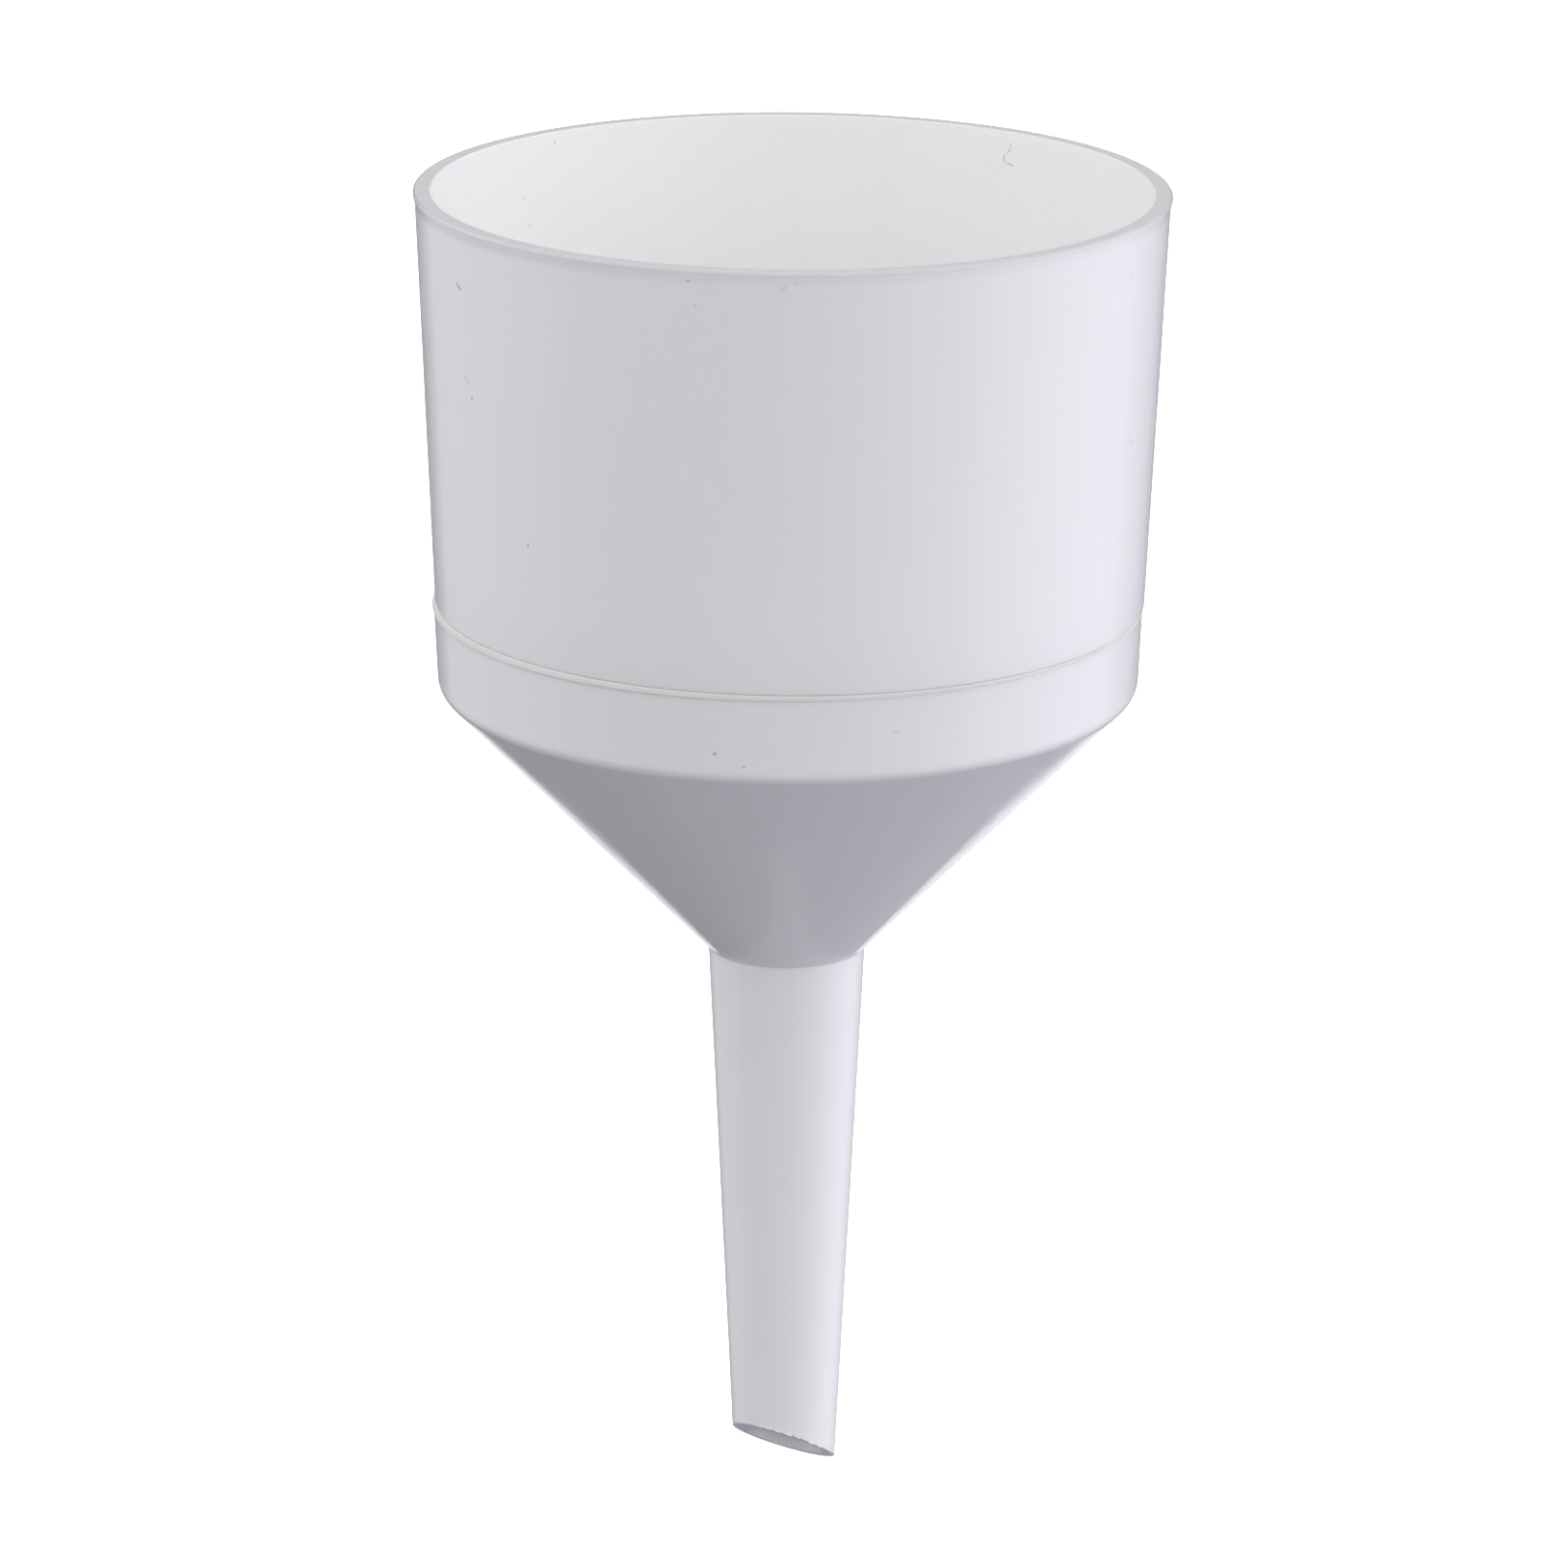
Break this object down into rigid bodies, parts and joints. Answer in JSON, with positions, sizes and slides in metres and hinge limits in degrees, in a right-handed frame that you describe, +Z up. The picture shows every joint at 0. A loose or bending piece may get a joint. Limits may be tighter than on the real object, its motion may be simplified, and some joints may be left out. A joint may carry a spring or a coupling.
{
  "type": "buchner funnel",
  "caption": "Moulded plastic Buchner funnel: a filter cup with a loose perforated plate, sealed by a thin ring onto a conical lower funnel with a tapered, bevelled stem.",
  "frame": {"origin": "on the funnel's axis at the top of the stem, where the stem's taper meets the cone", "axes": "+Z up along the axis, from the stem towards the cup's rim; +Y towards the low point of the bevelled tip; +X completes the right-handed frame"},
  "size_m": [0.1004, 0.1004, 0.1834],
  "materials": {
    "cup_plastic": "smooth glossy moulded polypropylene, natural white, slightly translucent",
    "plate_plastic": "smooth moulded polypropylene, natural white",
    "seal_rubber": "matte cream silicone rubber",
    "funnel_plastic": "smooth glossy moulded polypropylene, natural white, slightly translucent"
  },
  "bodies": {
    "funnel_base": {"lower_funnel": "funnel_plastic"},
    "seal": {"seal_ring": "seal_rubber"},
    "cup": {"filter_cup": "cup_plastic"},
    "plate": {"perforated_plate": "plate_plastic"}
  },
  "joints": [
    {"name": "ring_lift", "type": "slide", "parent": "funnel_base", "child": "seal", "axis": [0, 0, 1], "range_m": [0, 0.02]},
    {"name": "cup_lift", "type": "slide", "parent": "seal", "child": "cup", "axis": [0, 0, 1], "range_m": [0, 0.03]},
    {"name": "plate_lift", "type": "slide", "parent": "cup", "child": "plate", "axis": [0, 0, 1], "range_m": [0, 0.08]}
  ]
}
